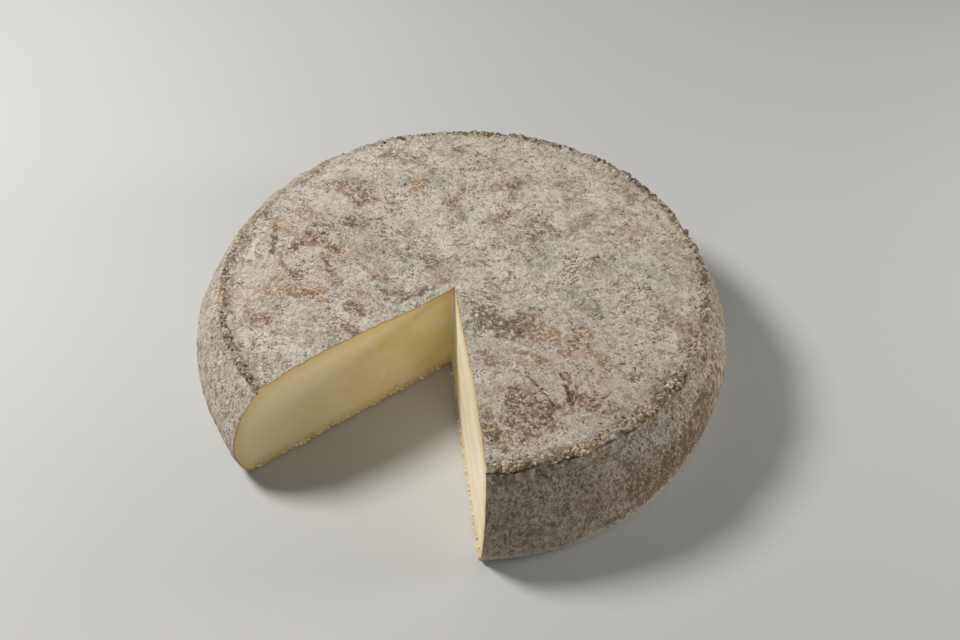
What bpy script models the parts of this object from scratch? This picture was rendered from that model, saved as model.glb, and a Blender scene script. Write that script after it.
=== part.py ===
"""A wheel of saint-nectaire cheese with one wedge cut out of it.

Metres, +Z up. The wheel lies flat on the plane z = 0 with its axis on the Z axis. The wedge was
taken from the front left, and the right-hand cut runs out to the rim at -Y.
"""

import math

import bmesh
import bpy
from mathutils import Vector, noise

# The top: almost flat, a little swollen in a ring and falling towards the rim
TOP_HEIGHT = 0.0452
SWELL = 0.0019
SWELL_RADIUS = 0.066
SWELL_SPREAD = 0.022
CENTRE_RISE = 0.0011
CENTRE_SPREAD = 0.018
EDGE_FALL = 0.0015
FALL_START = 0.082

# The seam that the mould leaves round the top edge: a crumbly lip that overhangs the heel
SEAM_INNER = 0.0957
SEAM_CREST = 0.0995
SEAM_NOSE = 0.1010
SEAM_TUCK = 0.0999
SEAM_RISE = 0.0013
NOSE_RISE = 0.0003
TUCK_DROP = 0.0016

# The heel: the wall of the wheel, which bellies out low down
BELLY_RADIUS = 0.1116
BELLY_HEIGHT = 0.0190
FOOT_RADIUS = 0.1090
FOOT_HEIGHT = 0.0036
HEEL_RINGS_ABOVE = 6
HEEL_RINGS_BELOW = 4

# The underside: flat to rest on, and rounded up to the foot
BASE_FLAT_RADIUS = 0.0880
BASE_LIFT = 0.0011
FOOT_TURN_RADIUS = 0.1062

# The wedge that was cut out, given by where the knife's two planes meet and where they reach the rim
APEX_TOP = Vector((-0.0036, -0.0057))
APEX_FOOT = Vector((-0.0056, -0.0040))
LEFT_RIM_TOP = Vector((-0.0832, -0.0555))
LEFT_RIM_FOOT = Vector((-0.0907, -0.0597))
RIGHT_RIM_TOP = Vector((0.0020, -0.1000))
RIGHT_RIM_FOOT = Vector((-0.0010, -0.1100))
RIGHT_BOW, BOW_MIDDLE, BOW_SPREAD = 0.0010, 0.055, 0.040
KNIFE_REACH = 0.160
KNIFE_TOP = 0.056
KNIFE_FOOT = -0.006
KNIFE_WAVE = 0.0003
KNIFE_WAVE_SIZE = 0.030
PASTE_BULGE = 0.0005
APEX_KEPT_TRUE = 0.025

# How the rings lie, and how many corners each has by how much detail it carries
COARSE, MEDIUM, FINE = 60, 120, 240
INNER_STEP = 0.0120
OUTER_STEP = 0.0085
LAST_TOP_RADIUS = 0.0915
KNIFE_COLUMNS, KNIFE_ROWS = 44, 13

# Where the top, the heel and the seam begin and end for the unevenness below
TOP_ZONE = (0.030, 0.040)
BASE_ZONE = (0.000, 0.006)
HEEL_ZONE = (0.098, 0.104)
FOOT_ZONE = (0.004, 0.016)
SEAM_SPREAD = 0.0022
BELLY_SPREAD = 0.018

# Unevenness: how far the surface strays, and over what length
TOP_SHIFT = Vector((0.0008, 0.0006, 0.0))

# Where the heel stands out or falls back: bearing and spread in degrees, and how far
BELLY_STRAYS = ((-10.0, 32.0, -0.0010), (180.0, 18.0, 0.0008), (218.0, 9.0, 0.0018))
FOOT_STRAYS = ((-62.0, 26.0, 0.0015),)
TOP_WAVE, TOP_WAVE_SIZE = 0.0007, 0.038
TOP_DENT, TOP_DENT_SIZE = 0.0004, 0.015
HEEL_WAVE, HEEL_WAVE_SIZE = 0.0009, 0.040
HEEL_DENT, HEEL_DENT_SIZE = 0.0004, 0.014
CRAG, CRAG_SIZE = 0.0012, 0.0075

SHARP_ANGLE = math.radians(50.0)
RIND_COLOUR, RIND_ROUGHNESS = (0.50, 0.43, 0.35, 1.0), 0.95
PASTE_COLOUR, PASTE_ROUGHNESS = (0.74, 0.59, 0.31, 1.0), 0.45


def ease(start, end, value):
    """0 before start, 1 after end, and a smooth S between them."""
    share = min(max((value - start) / (end - start), 0.0), 1.0)
    return share * share * (3.0 - 2.0 * share)


def bell(value, middle, spread):
    return math.exp(-(((value - middle) / spread) ** 2))


def stray_at(angle, strays):
    """The sum of the bells that stand round the wheel at this bearing."""
    total = 0.0
    for middle, spread, push in strays:
        apart = math.remainder(angle - math.radians(middle), math.tau)
        total += push * bell(apart, 0.0, math.radians(spread))
    return total


def wander(point, size, seed):
    """Smooth noise from about -1 to 1 that changes over the given length."""
    return noise.noise(Vector(point) / size + Vector((seed, 2.3 * seed, -1.7 * seed)))


def top_height(radius):
    height = TOP_HEIGHT + SWELL * bell(radius, SWELL_RADIUS, SWELL_SPREAD)
    height += CENTRE_RISE * bell(radius, 0.0, CENTRE_SPREAD)
    return height - EDGE_FALL * ease(FALL_START, SEAM_INNER, radius)


def heel_radius(height):
    """The heel's outline is two parabolas that meet at the belly."""
    if height > BELLY_HEIGHT:
        tuck_height = top_height(SEAM_INNER) - TUCK_DROP
        share = (height - BELLY_HEIGHT) / (tuck_height - BELLY_HEIGHT)
        return BELLY_RADIUS - (BELLY_RADIUS - SEAM_TUCK) * share**2
    share = (BELLY_HEIGHT - height) / (BELLY_HEIGHT - FOOT_HEIGHT)
    return BELLY_RADIUS - (BELLY_RADIUS - FOOT_RADIUS) * share**2


def ring_profile():
    """(radius, height, corners) of every ring, from the middle of the top to the middle of the base."""
    flat = [(INNER_STEP, COARSE // 2), (2 * INNER_STEP, COARSE), (3 * INNER_STEP, COARSE)]
    flat += [(3 * INNER_STEP + OUTER_STEP * step, MEDIUM) for step in range(1, 7)]
    flat += [(LAST_TOP_RADIUS, FINE), (SEAM_INNER, FINE)]
    rings = [(radius, top_height(radius), corners) for radius, corners in flat]

    lip = top_height(SEAM_INNER)
    rings.append(((SEAM_INNER + SEAM_CREST) / 2, lip + SEAM_RISE * 0.6, FINE))
    rings.append((SEAM_CREST, lip + SEAM_RISE, FINE))
    rings.append((SEAM_NOSE, lip + NOSE_RISE, FINE))
    rings.append((SEAM_TUCK, lip - TUCK_DROP, FINE))

    tuck_height = lip - TUCK_DROP
    for step in range(1, HEEL_RINGS_ABOVE + 1):
        height = tuck_height + (BELLY_HEIGHT - tuck_height) * step / HEEL_RINGS_ABOVE
        rings.append((heel_radius(height), height, FINE if step == 1 else MEDIUM))
    for step in range(1, HEEL_RINGS_BELOW + 1):
        height = BELLY_HEIGHT + (FOOT_HEIGHT - BELLY_HEIGHT) * step / HEEL_RINGS_BELOW
        rings.append((heel_radius(height), height, MEDIUM))

    rings.append((FOOT_TURN_RADIUS, BASE_LIFT, MEDIUM))
    rings.append(((FOOT_TURN_RADIUS + BASE_FLAT_RADIUS) / 2, BASE_LIFT / 3, MEDIUM))
    rings.append((BASE_FLAT_RADIUS, 0.0, MEDIUM))
    rings.append((BASE_FLAT_RADIUS / 2, 0.0, COARSE))
    rings.append((INNER_STEP, 0.0, COARSE // 2))
    return rings


def uneven(angle, radius, height):
    """Where the real, uneven wheel has the point that a perfect one has at these coordinates."""
    way = Vector((math.cos(angle), math.sin(angle), 0.0))
    point = way * radius + Vector((0.0, 0.0, height))

    on_top = ease(*TOP_ZONE, height)
    on_seam = on_top * bell(radius, SEAM_CREST, SEAM_SPREAD)
    on_heel = ease(*HEEL_ZONE, radius) * ease(*BASE_ZONE, height)
    at_belly = on_heel * bell(height, BELLY_HEIGHT, BELLY_SPREAD)
    at_foot = ease(*HEEL_ZONE, radius) * (1.0 - ease(*FOOT_ZONE, height))

    lift = TOP_WAVE * wander(point, TOP_WAVE_SIZE, 3.1)
    lift += TOP_DENT * wander(point, TOP_DENT_SIZE, 8.4)
    lift += CRAG * on_seam * wander(point, CRAG_SIZE, 5.2)
    push = HEEL_WAVE * wander(point, HEEL_WAVE_SIZE, 1.9)
    push += HEEL_DENT * wander(point, HEEL_DENT_SIZE, 6.6)
    push = push * on_heel + CRAG * on_seam * wander(point, CRAG_SIZE, 9.7)
    push += at_belly * stray_at(angle, BELLY_STRAYS) + at_foot * stray_at(angle, FOOT_STRAYS)
    place = way * (radius + push) + TOP_SHIFT * ease(0.0, TOP_HEIGHT, height)
    return place + Vector((0.0, 0.0, height + lift * on_top))


def object_from(name, shape, collection):
    mesh = bpy.data.meshes.new(name)
    bmesh.ops.triangulate(shape, faces=shape.faces[:])
    bmesh.ops.recalc_face_normals(shape, faces=shape.faces[:])
    shape.to_mesh(mesh)
    shape.free()
    mesh.shade_smooth()
    mesh.set_sharp_from_angle(angle=SHARP_ANGLE)
    made = bpy.data.objects.new(name, mesh)
    collection.objects.link(made)
    return made


def whole_wheel(collection):
    """Rings from the middle of the top, over the seam and down the heel, bridged one to the next."""
    shape = bmesh.new()
    loops = []
    for radius, height, corners in ring_profile():
        ring = bmesh.ops.create_circle(shape, segments=corners, radius=radius)["verts"]
        loops.append((ring, {edge for corner in ring for edge in corner.link_edges}))
        for corner in ring:
            corner.co = uneven(math.atan2(corner.co.y, corner.co.x), radius, height)
    for (_, edges), (_, next_edges) in zip(loops, loops[1:]):
        bmesh.ops.bridge_loops(shape, edges=list(edges | next_edges))
    for ring, _ in (loops[0], loops[-1]):
        bmesh.ops.contextual_create(shape, geom=ring)
    return object_from("cheese_wheel", shape, collection)


def knife_point(along, rise):
    """A point of the V that the knife left: along is -1 to 1 from rim to rim, rise is 0 at its foot."""
    apex = APEX_FOOT.lerp(APEX_TOP, rise)
    if along < 0.0:
        rim = LEFT_RIM_FOOT.lerp(LEFT_RIM_TOP, rise)
    else:
        rim = RIGHT_RIM_FOOT.lerp(RIGHT_RIM_TOP, rise)
    way = (rim - apex).normalized()
    outward = Vector((way.y, -way.x)) if along < 0.0 else Vector((-way.y, way.x))
    reach = abs(along) * KNIFE_REACH
    height = KNIFE_FOOT + (KNIFE_TOP - KNIFE_FOOT) * rise

    off_apex = ease(0.0, APEX_KEPT_TRUE, reach)
    stray = KNIFE_WAVE * wander((*(apex + way * reach), height), KNIFE_WAVE_SIZE, 4.4)
    stray -= PASTE_BULGE * math.sin(math.pi * min(max(height / TOP_HEIGHT, 0.0), 1.0))
    if along > 0.0:
        stray += RIGHT_BOW * rise * bell(reach, BOW_MIDDLE, BOW_SPREAD)
    return (*(apex + way * reach + outward * stray * off_apex), height)


def wedge_cutter(collection):
    """The wedge as a block. The faces that its knife cuts leave behind are its two long sides."""
    shape = bmesh.new()
    grid = bmesh.ops.create_grid(shape, x_segments=KNIFE_COLUMNS, y_segments=KNIFE_ROWS, size=1.0)
    sheet = grid["verts"]
    foot = [corner for corner in sheet if corner.co.y < -0.999]
    top = [corner for corner in sheet if corner.co.y > 0.999]
    rim = [corner for corner in sheet if abs(corner.co.x) > 0.999]
    for corner in sheet:
        corner.co = knife_point(corner.co.x, (corner.co.y + 1.0) / 2.0)
    for border in (foot, top, rim):
        bmesh.ops.contextual_create(shape, geom=border)
    cutter = object_from("wedge_cutter", shape, collection)
    cutter.hide_render = True
    cutter.display_type = "WIRE"
    return cutter


def finish_material(name, colour, roughness):
    material = bpy.data.materials.new(name)
    material.use_nodes = True
    shader = material.node_tree.nodes["Principled BSDF"]
    shader.inputs["Base Color"].default_value = colour
    shader.inputs["Roughness"].default_value = roughness
    return material


def main():
    for old in list(bpy.data.objects):
        bpy.data.objects.remove(old)
    parts = bpy.data.collections.new("saint_nectaire_cheese")
    cutters = bpy.data.collections.new("cutters")
    for collection in (parts, cutters):
        bpy.context.scene.collection.children.link(collection)

    wheel = whole_wheel(parts)
    cutter = wedge_cutter(cutters)
    wheel.data.materials.append(finish_material("rind", RIND_COLOUR, RIND_ROUGHNESS))
    paste = finish_material("paste", PASTE_COLOUR, PASTE_ROUGHNESS)
    cutter.data.materials.append(paste)
    wheel.data.materials.append(paste)

    cut = wheel.modifiers.new("cut_out_wedge", "BOOLEAN")
    cut.operation = "DIFFERENCE"
    cut.solver = "EXACT"
    cut.object = cutter
    cut.material_mode = "TRANSFER"


main()
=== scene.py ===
# %% [markdown]
# # A wheel of saint-nectaire with one wedge cut out
# This lesson finishes a small cheese: a low wheel, about 22 cm across and under 5 cm thick.
# Its rind is a dry grey-beige mould with rusty patches, its paste is a pale straw yellow, and a
# crumbly seam runs round the top edge where the two halves of the mould's cloth met.
# The plain solid comes first, and everything else is fitted to it.

# %% Load the plain solid
import math
import random
from collections import Counter
from functools import partialmethod
from itertools import combinations

import bmesh
import bpy
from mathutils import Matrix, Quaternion, Vector, noise
from mathutils.bvhtree import BVHTree


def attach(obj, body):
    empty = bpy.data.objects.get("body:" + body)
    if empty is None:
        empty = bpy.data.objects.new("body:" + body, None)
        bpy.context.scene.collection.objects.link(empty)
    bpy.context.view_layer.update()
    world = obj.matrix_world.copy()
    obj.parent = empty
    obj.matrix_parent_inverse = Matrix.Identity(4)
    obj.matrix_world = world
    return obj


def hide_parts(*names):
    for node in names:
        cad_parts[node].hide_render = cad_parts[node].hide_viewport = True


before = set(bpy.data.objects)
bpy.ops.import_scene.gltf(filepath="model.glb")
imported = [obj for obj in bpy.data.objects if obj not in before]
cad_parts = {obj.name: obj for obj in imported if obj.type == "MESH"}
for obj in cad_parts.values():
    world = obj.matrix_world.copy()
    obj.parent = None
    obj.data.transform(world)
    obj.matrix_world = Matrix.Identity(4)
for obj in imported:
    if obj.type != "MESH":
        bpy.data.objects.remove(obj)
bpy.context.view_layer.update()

# %% [markdown]
# ## The camera
# The wheel is seen from the front, 45 degrees above the table, from 60 cm away. The camera is
# placed on a ball round the point it looks at, because a bearing, a height and a distance are
# easier to think about than three coordinates. A small roll levels it as the picture is.

# %% Camera
AIM = Vector((0.00932, 0.02102, 0.0))
BEARING = math.radians(-5.4)
ELEVATION = math.radians(45.03)
DISTANCE = 0.600
ROLL = math.radians(1.334)
FOCAL_LENGTH = 50.18

towards_camera = Vector((
    math.sin(BEARING) * math.cos(ELEVATION),
    -math.cos(BEARING) * math.cos(ELEVATION),
    math.sin(ELEVATION),
))
lens = bpy.data.cameras.new("camera")
lens.lens = FOCAL_LENGTH
lens.sensor_width = 36.0
camera = bpy.data.objects.new("camera", lens)
camera.rotation_mode = "QUATERNION"
camera.rotation_quaternion = towards_camera.to_track_quat("Z", "Y") @ Quaternion((0, 0, 1), ROLL)
camera.location = AIM + towards_camera * DISTANCE
bpy.context.scene.collection.objects.link(camera)
bpy.context.scene.camera = camera
print("camera at", [round(value, 3) for value in camera.location])

# %% [markdown]
# ## Light
# One large window-like light stands on the left and a little behind, so that the relief of the
# rind throws small shadows, the heel in front falls into shade and the right-hand cut glows.
# Two faint lights, one on the right and one in front, and a dim grey sky keep the shaded sides
# readable.

# %% Lights
def soft_light(name, place, target, size, power, colour):
    light = bpy.data.lights.new(name, "AREA")
    light.shape = "DISK"
    light.size = size
    light.energy = power
    light.color = colour
    stand = bpy.data.objects.new(name, light)
    stand.location = place
    stand.rotation_mode = "QUATERNION"
    stand.rotation_quaternion = (Vector(place) - Vector(target)).to_track_quat("Z", "Y")
    bpy.context.scene.collection.objects.link(stand)
    return stand


soft_light("key", (-0.52, 0.22, 0.66), (0.0, 0.0, 0.03), 0.24, 7.6, (1.0, 0.985, 0.96))
soft_light("right", (0.66, -0.02, 0.15), (0.05, 0.0, 0.02), 0.24, 2.6, (1.0, 0.98, 0.94))
soft_light("front", (-0.10, -0.74, 0.24), (-0.03, -0.03, 0.02), 0.36, 1.0, (1.0, 0.97, 0.92))

world = bpy.data.worlds.new("grey_sky")
world.use_nodes = True
world.node_tree.nodes["Background"].inputs["Color"].default_value = (0.95, 0.97, 1.0, 1.0)
world.node_tree.nodes["Background"].inputs["Strength"].default_value = 0.12
bpy.context.scene.world = world
bpy.context.scene.view_settings.view_transform = "Standard"

# %% [markdown]
# ## Shape helpers
# Three small functions shape everything here. `ease` is a soft step, `bell` is a soft bump, and
# `wander` is smooth noise that changes over a length that is given in metres.

# %% Shape helpers
def ease(start, end, value):
    share = min(max((value - start) / (end - start), 0.0), 1.0)
    return share * share * (3.0 - 2.0 * share)


def bell(value, middle, spread):
    return math.exp(-(((value - middle) / spread) ** 2))


def wander(point, size, seed):
    return noise.noise(Vector(point) / size + Vector((seed, 2.3 * seed, -1.7 * seed)))


# %% [markdown]
# ## The wheel's outline
# A turned shape is known by its outline: a nearly flat top that swells in a low ring, a lip at
# the seam, and a heel that bellies out low down. The numbers are those of the plain solid, so
# the fine wheel fills the same space.

# %% Outline
TOP_HEIGHT = 0.0452
SWELL, SWELL_RADIUS, SWELL_SPREAD = 0.0019, 0.066, 0.022
CENTRE_RISE, CENTRE_SPREAD = 0.0011, 0.018
EDGE_FALL, FALL_START = 0.0015, 0.082
SEAM_INNER, SEAM_CREST, SEAM_NOSE, SEAM_TUCK = 0.0957, 0.0995, 0.1010, 0.0999
SEAM_RISE, NOSE_RISE, TUCK_DROP = 0.0013, 0.0003, 0.0016
BELLY_RADIUS, BELLY_HEIGHT = 0.1116, 0.0190
FOOT_RADIUS, FOOT_HEIGHT = 0.1090, 0.0036
BASE_FLAT_RADIUS, BASE_LIFT, FOOT_TURN_RADIUS = 0.0880, 0.0011, 0.1072


def top_height(radius):
    height = TOP_HEIGHT + SWELL * bell(radius, SWELL_RADIUS, SWELL_SPREAD)
    height += CENTRE_RISE * bell(radius, 0.0, CENTRE_SPREAD)
    return height - EDGE_FALL * ease(FALL_START, SEAM_INNER, radius)


LIP = top_height(SEAM_INNER)
TUCK_HEIGHT = LIP - TUCK_DROP


def heel_radius(height):
    if height > BELLY_HEIGHT:
        share = (height - BELLY_HEIGHT) / (TUCK_HEIGHT - BELLY_HEIGHT)
        return BELLY_RADIUS - (BELLY_RADIUS - SEAM_TUCK) * share**2
    share = (BELLY_HEIGHT - height) / (BELLY_HEIGHT - FOOT_HEIGHT)
    return BELLY_RADIUS - (BELLY_RADIUS - FOOT_RADIUS) * share**2


# %% [markdown]
# ## Rings
# The wheel could be spun from its outline, but then the middle would be crowded with corners
# and the rim would have too few. Rings with their own number of corners, bridged one to the
# next, put the detail where it shows: a corner about every millimetre. Between rings of the same
# count, the last ring is extruded instead, which can't twist.

# %% Rings
TOP_BANDS = ((0.0040, 0.0220, 0.0020, 90), (0.0220, 0.0460, 0.0013, 270), (0.0460, 0.0950, 0.00105, 720))
RIM_CORNERS, FOOT_CORNERS, BASE_CORNERS = 720, 360, 180
SEAM_STEPS, FOOT_STEPS = 4, 4
UNDER_TUCK = 0.0003, 0.0006
HEEL_STEP, BASE_STEP, BASE_INNERMOST, BASE_MIDDLE = 0.0010, 0.0032, 0.0144, 0.0080


def curve_through(points, steps):
    """Points on a smooth curve through the given ones, without the first."""
    ends = [points[0]] + points + [points[-1]]
    path = []
    for before, start, end, after in zip(ends, ends[1:], ends[2:], ends[3:]):
        for step in range(1, steps + 1):
            share = step / steps
            bend = (end - before) * 0.5, (after - start) * 0.5
            here = start * (2 * share**3 - 3 * share**2 + 1) + bend[0] * (share**3 - 2 * share**2 + share)
            path.append(here + end * (3 * share**2 - 2 * share**3) + bend[1] * (share**3 - share**2))
    return path


def ring_outline():
    """(radius, height, corners) of each ring, from the middle of the top to the middle of the base."""
    rings = []
    for start, end, step, corners in TOP_BANDS:
        count = round((end - start) / step)
        for index in range(count):
            radius = start + (end - start) * index / count
            rings.append((radius, top_height(radius), corners))
    seam = [Vector((SEAM_INNER, LIP)), Vector(((SEAM_INNER + SEAM_CREST) / 2, LIP + SEAM_RISE * 0.6)),
            Vector((SEAM_CREST, LIP + SEAM_RISE)), Vector((SEAM_NOSE, LIP + NOSE_RISE)),
            Vector((SEAM_TUCK, TUCK_HEIGHT))]
    rings.append((*seam[0], RIM_CORNERS))
    rings += [(*place, RIM_CORNERS) for place in curve_through(seam, SEAM_STEPS)]
    rings += [(heel_radius(TUCK_HEIGHT - drop), TUCK_HEIGHT - drop, RIM_CORNERS) for drop in UNDER_TUCK]
    count = round((TUCK_HEIGHT - FOOT_HEIGHT) / HEEL_STEP)
    for index in range(1, count + 1):
        height = TUCK_HEIGHT + (FOOT_HEIGHT - TUCK_HEIGHT) * index / count
        rings.append((heel_radius(height), height, RIM_CORNERS))
    turn = [Vector((FOOT_RADIUS, FOOT_HEIGHT)), Vector((FOOT_TURN_RADIUS, BASE_LIFT * 0.6)),
            Vector(((FOOT_TURN_RADIUS + BASE_FLAT_RADIUS) / 2, BASE_LIFT / 3)),
            Vector((BASE_FLAT_RADIUS, 0.0))]
    rings += [(*place, FOOT_CORNERS) for place in curve_through(turn, FOOT_STEPS)]
    count = round((BASE_FLAT_RADIUS - BASE_INNERMOST) / BASE_STEP)
    base = [BASE_FLAT_RADIUS - index * BASE_STEP for index in range(1, count + 1)]
    rings += [(radius, 0.0, BASE_CORNERS) for radius in base]
    rings += [(BASE_MIDDLE, 0.0, BASE_CORNERS // 2)]
    return rings


print(len(ring_outline()), "rings")

# %% [markdown]
# ## Broad unevenness
# No cheese is a perfect turning. These are the slow strays of the plain solid: waves and dents
# over a few centimetres, a top that has slipped a little to one side, and a heel that slumps
# here and there. They keep the two models together to a fraction of a millimetre.

# %% Broad unevenness
TOP_ZONE, BASE_ZONE = (0.030, 0.040), (0.000, 0.006)
HEEL_ZONE, FOOT_ZONE = (0.098, 0.104), (0.004, 0.016)
SEAM_SPREAD, BELLY_SPREAD = 0.0022, 0.018
LIFT_WAVES = ((0.0007, 0.038, 3.1), (0.0004, 0.015, 8.4))
PUSH_WAVES = ((0.0009, 0.040, 1.9), (0.0004, 0.014, 6.6))
TOP_SHIFT = Vector((0.0008, 0.0006, 0.0))
BELLY_STRAYS = ((-10.0, 32.0, -0.0010), (180.0, 18.0, 0.0008), (218.0, 9.0, 0.0018))
FOOT_STRAYS = ((-62.0, 26.0, 0.0015),)
CRAG, CRAG_SIZE = 0.0012, 0.0075


def stray_at(angle, strays):
    total = 0.0
    for middle, spread, push in strays:
        away = math.remainder(angle - math.radians(middle), math.tau)
        total += push * bell(away, 0.0, math.radians(spread))
    return total


def broad_strays(point, angle, radius, height, on_top, on_seam, on_heel):
    """How far the plain solid's surface is lifted and pushed out here."""
    lift = sum(depth * wander(point, size, seed) for depth, size, seed in LIFT_WAVES)
    lift += CRAG * on_seam * wander(point, CRAG_SIZE, 5.2)
    push = sum(depth * wander(point, size, seed) for depth, size, seed in PUSH_WAVES) * on_heel
    push += CRAG * on_seam * wander(point, CRAG_SIZE, 9.7)
    push += on_heel * bell(height, BELLY_HEIGHT, BELLY_SPREAD) * stray_at(angle, BELLY_STRAYS)
    at_foot = ease(*HEEL_ZONE, radius) * (1.0 - ease(*FOOT_ZONE, height))
    return lift, push + at_foot * stray_at(angle, FOOT_STRAYS)


# %% [markdown]
# ## Marks on the rind
# The rind's patches are where the pale bloom is worn off or never grew. Most were left by the
# straw and the shelves the cheese ripened on, so their edges are straight and many taper to a
# point. Each is one stroke in millimetres: from, to, half its width at each end, and how strong.
# The same strokes later guide colour and relief, so a stain is also a shallow dip.

# %% Marks on the top
BROWN = (
    (4, -72, 36, -66, 18.0, 16.0, 0.34), (-56, 56, -40, 20, 14.0, 14.0, 0.26),
    (30, -36, 52, -50, 12.0, 8.0, 0.18), (14, -64, 18, -76, 2.0, 12.0, 1.0),
    (36, -64, 42, -73, 2.5, 6.0, 0.8), (86, -33, 85, -43, 3.0, 4.0, 0.7),
    (42, -39, 36, -50, 5.0, 1.4, 0.50), (25, -30, 31, -37, 5.0, 4.0, 0.25),
    (4, -43, 8, -50, 1.8, 1.6, 0.6), (-51, 65, -39, 52, 4.0, 3.4, 0.8),
    (-64, 29, -72, 19, 1.9, 2.3, 1.0), (-64, 29, -54, 19, 2.2, 2.4, 0.9),
    (-85, -17, -80, -21, 2.2, 2.6, 0.6), (-79, 39, -79, 20, 1.1, 1.2, 1.0),
    (-76, 12, -69, 2, 1.6, 2.2, 1.0), (-59, 18, -54, 2, 1.6, 1.8, 0.9),
    (-43, 11, -38, 4, 1.4, 1.8, 0.7), (-47, 37, -41, 34, 3.0, 3.0, 0.7),
    (-47, -15, -42, -20, 2.8, 2.4, 0.9), (-50, -26, -45, -31, 2.4, 2.0, 0.8),
    (-30, 84, -22, 76, 3.0, 2.0, 0.6), (4, -84, 9, -92, 3.0, 3.0, 0.6),
    (-60, 75.5, -76, 61, 0.6, 0.6, 0.5), (-76, 61, -88, 43, 0.6, 0.7, 0.5),
    (-88, 43, -96, 22, 0.7, 0.6, 0.5), (-52, 60, -42, 48, 1.4, 1.6, 0.9),
    (-44, 56, -38, 50, 1.4, 1.8, 0.8), (-79, 21, -74, 23, 1.6, 1.2, 0.9),
    (-62, 24, -58, 22, 2.6, 2.6, 0.8), (-57, 4, -52, -1, 1.8, 2.2, 0.6),
    (-56, 16, -50, 12, 1.4, 1.4, 0.5), (22, -24, 33, -31, 4.0, 4.0, 0.3),
    (33.0, -58, 36.2, -75, 1.3, 1.8, 0.9), (66, -48, 69, -56, 0.7, 0.6, 0.7),
    (78, -24, 88, -36, 4.0, 5.0, 0.6),
)
ORANGE = (
    (-79, -4, -60, -7, 3.6, 3.8, 0.9), (-60, 26, -52, 19, 3.6, 3.8, 0.9),
    (-66, 28, -71, 21, 3.0, 3.0, 0.7), (24, -28, 40, -45, 7.0, 6.0, 0.7),
    (6, -80, 20, -88, 6.0, 5.0, 0.6), (-77, -4, -75, -5, 3.2, 3.2, 1.0),
    (-69, -6, -67, -7, 3.4, 3.2, 1.0), (-62, -5, -59, -6, 3.8, 3.6, 1.0),
    (-70, 47, -63, 43, 2.2, 2.6, 0.7), (-77, 38, -72, 33, 2.6, 3.0, 0.8),
    (-45, -5, -41, -9, 2.2, 2.4, 0.8), (21, -47, 31, -52, 2.8, 1.8, 0.9),
    (43, -47, 53, -55, 3.8, 3.4, 0.7), (68, -47, 74, -47, 1.6, 2.0, 0.8),
    (40, -41, 36, -48, 4.0, 1.2, 0.6), (5, -82, 12, -90, 5.0, 5.0, 0.8),
    (20, -68, 27, -79, 4.0, 4.5, 0.6), (24, -29, 31, -35, 4.0, 3.5, 0.45),
    (42, -37, 36, -50, 5.5, 1.6, 1.0), (15, -66, 24, -84, 4.0, 12.0, 0.3),
    (19, -57, 25, -67, 1.0, 1.2, 0.8), (-66, 30, -57, 20, 2.4, 2.4, 0.5),
    (-93, 32, -97, 22, 1.6, 1.6, 0.6), (-48, -26, -44, -31, 2.4, 2.0, 0.6),
    (-45, -15, -42, -19, 2.6, 2.4, 0.6),
)
PINK = (
    (8, -50, 48, -62, 20.0, 22.0, 0.42), (-66, 32, -46, 20, 18.0, 18.0, 0.36),
    (-80, -10, -60, -18, 13.0, 10.0, 0.36), (-98, -4, -87, -9, 3.5, 3.0, 0.7),
    (-88, -15, -80, -21, 2.6, 3.0, 0.9), (25, -29, 33, -37, 7.0, 6.0, 0.7),
    (-50, 64, -40, 54, 7.0, 6.0, 0.5), (3, -43, 9, -51, 2.6, 2.4, 0.9),
    (15, -66, 20, -77, 3.0, 12.0, 0.6), (66, -60, 78, -45, 9.0, 9.0, 0.4),
    (-72, -12, -60, -14, 5.0, 5.0, 0.4), (8, -84, 24, -90, 6.0, 4.0, 0.4),
)
PALE = (
    (2, -53, 20, -60, 2.4, 1.6, 0.9), (29, -69, 36, -86, 2.4, 3.5, 0.9),
    (1, -95, 35, -86, 2.6, 3.2, 1.0), (35, -86, 46, -80, 3.2, 2.0, 0.9),
    (21, -59, 30, -74, 1.6, 1.6, 0.8), (-82, -30, -67, -33, 3.0, 3.0, 0.9),
    (-80, -36, -66, -38, 2.2, 2.6, 0.8), (-61, 33, -54, 27, 1.8, 1.6, 1.0),
    (-66, 58, -60, 54, 6.0, 6.0, 0.7), (-84, 44, -88, 20, 3.0, 4.0, 0.6),
    (30, -42, 34, -46, 3.0, 2.6, 0.6), (-50, 80, -62, 66, 3.0, 3.0, 0.6),
)
CREASE = (
    (20.2, -58, 28.6, -73, 0.3, 0.5, 0.9), (32.0, -56, 33.2, -61, 0.8, 0.4, 0.8),
    (33.6, -64, 35.2, -70, 0.5, 0.9, 1.0), (35.4, -72, 36.6, -77, 0.7, 0.3, 0.7),
    (66, -51, 68.5, -55, 0.6, 0.4, 0.9), (-60, 31.5, -58, 30.5, 1.0, 0.8, 1.0),
    (2, -60, 12, -55, 0.4, 0.3, 0.5), (-81, -33, -70, -35, 0.4, 0.4, 0.5),
)
GOLD = (
    (-99.5, 9, -99.5, -11, 1.0, 2.6, 1.0), (-96, -22, -95, -29, 2.4, 1.4, 1.0),
    (-91, -37, -88, -45, 1.0, 1.2, 0.7), (-91, 36, -97, 22, 1.0, 1.6, 0.8),
    (5, -99, 11, -98.5, 1.6, 2.4, 1.0), (39, -92, 46, -89, 1.8, 1.8, 0.8),
    (55, -84, 60, -81, 1.6, 1.8, 0.8), (61, -78, 66, -74, 1.6, 2.0, 1.0),
    (70, -69, 77, -62, 1.6, 1.6, 0.9), (88, -50, 90, -47, 1.6, 1.6, 0.8),
    (92, -42, 95, -34, 1.6, 1.4, 0.9), (24, -97, 30, -95, 1.4, 1.4, 0.7),
    (97, -20, 100, 4, 1.2, 1.6, 0.6), (-84, -52, -82, -56, 1.0, 1.0, 0.6),
)
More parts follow.
